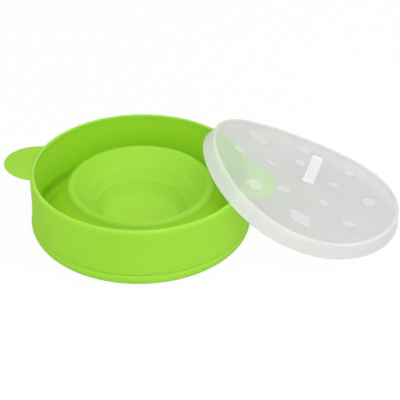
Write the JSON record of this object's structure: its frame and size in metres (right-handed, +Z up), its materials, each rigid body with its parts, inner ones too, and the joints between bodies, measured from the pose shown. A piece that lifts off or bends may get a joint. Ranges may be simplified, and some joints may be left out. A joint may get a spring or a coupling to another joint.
{
  "type": "folding popcorn bowl with lid",
  "caption": "Soft folding popcorn bowl, shown folded, with a rounded crest round a deep dish, flat ears on its rim and a soft clear lid with a pull tab leaning on it.",
  "frame": {"origin": "centre of the floor's flat underside, on the table", "axes": "+Z up along the bowl's axis; +X towards the ear that lies under the lid"},
  "size_m": [0.373, 0.231, 0.088],
  "materials": {
    "silicone_green": "soft matte silicone",
    "lid_clear": "frosted translucent soft plastic",
    "tab_white": "white soft plastic"
  },
  "bodies": {
    "base": {"floor_disc": "silicone_green", "dish": "silicone_green", "dish_ridges": "silicone_green", "crest_ring": "silicone_green", "fold_band": "silicone_green"},
    "wall": {"upper_wall": "silicone_green", "rim_lip": "silicone_green", "wall_foot": "silicone_green", "left_ear_root": "silicone_green", "right_ear_root": "silicone_green"},
    "left_ear": {"left_ear": "silicone_green"},
    "right_ear": {"right_ear": "silicone_green"},
    "lid": {"lid_panel": "lid_clear", "lid_edge": "lid_clear", "lid_skirt": "lid_clear", "lid_puffs": "lid_clear", "pull_tab": "tab_white", "pull_tab_boss": "tab_white"}
  },
  "joints": [
    {"name": "wall_rise", "type": "slide", "parent": "base", "child": "wall", "axis": [0, 0, 1], "range_m": [0, 0.076], "deforming": ["fold_band"]},
    {"name": "lid_lift", "type": "slide", "parent": "wall", "child": "lid", "axis": [0, 0, 1], "range_m": [0, 0.12]},
    {"name": "right_ear_flex", "type": "hinge", "parent": "wall", "child": "right_ear", "pos_m": [0.1058, 0, 0.0573], "axis": [0, -1, 0], "range_deg": [0, 20]},
    {"name": "left_ear_flex", "type": "hinge", "parent": "wall", "child": "left_ear", "pos_m": [-0.1058, 0, 0.0573], "axis": [0, 1, 0], "range_deg": [-30, 30], "stiffness_Nm_per_rad": 0.05}
  ],
  "couplings": [
    {"joint": "right_ear_flex", "follows": "lid_lift", "rad_per_m": 2.903}
  ]
}
